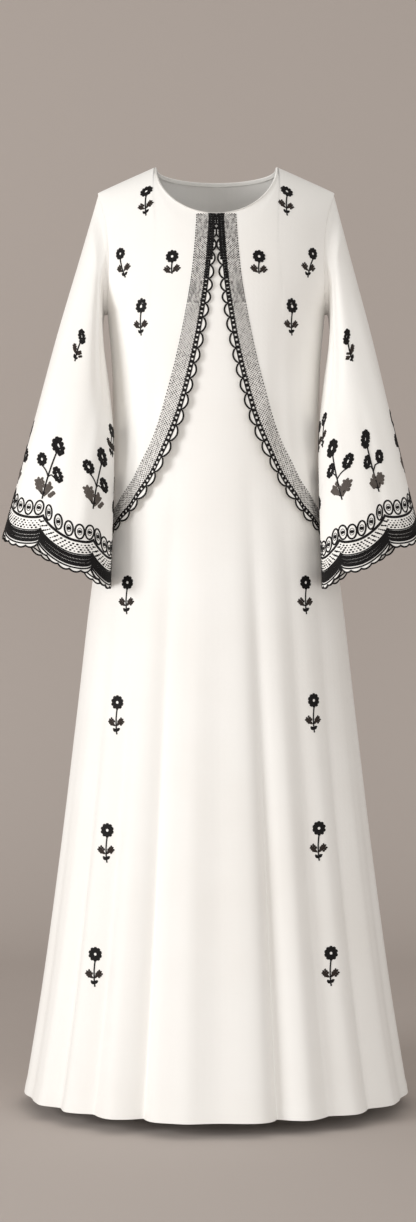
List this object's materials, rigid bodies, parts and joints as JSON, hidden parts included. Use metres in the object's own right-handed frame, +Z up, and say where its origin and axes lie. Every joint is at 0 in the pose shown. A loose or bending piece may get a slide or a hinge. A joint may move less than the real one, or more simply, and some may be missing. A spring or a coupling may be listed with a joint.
{
  "type": "abaya",
  "caption": "Long A-line abaya in ivory cloth, with open embroidered overlay fronts that curve to the sides and wide bell sleeves with scalloped embroidered hems.",
  "frame": {"origin": "middle of the shoulder line, level with the points where the shoulder seams meet the neck; the wearer's shoulders hold the garment here", "axes": "+Z up, front of the garment towards -Y, +X to the viewer's right when its front is seen"},
  "size_m": [0.6064, 0.4541, 1.3669],
  "materials": {
    "ivory_cloth": "smooth matt ivory crepe with a fine plain weave",
    "overlay_cloth": "the same ivory crepe, as the overlay fronts",
    "sleeve_cloth": "the same ivory crepe, as the bell sleeves",
    "binding": "ivory bias binding and seam tape, a little smoother",
    "stitched_band": "ivory band closely covered with dark running stitches, grey from a step away",
    "black_thread": "black embroidery thread, beads and lace edging with a low sheen"
  },
  "bodies": {
    "root": {"front": "ivory_cloth", "back_left": "ivory_cloth", "back_right": "ivory_cloth", "overlay_left": "overlay_cloth", "overlay_right": "overlay_cloth", "sleeve_left": "sleeve_cloth", "sleeve_right": "sleeve_cloth", "neck_binding": "binding", "back_seam_tape": "binding", "front_band_left": "stitched_band", "front_band_right": "stitched_band", "front_edging_left": "black_thread", "front_edging_right": "black_thread", "cuff_edging_left": "black_thread", "cuff_edging_right": "black_thread"}
  },
  "joints": []
}
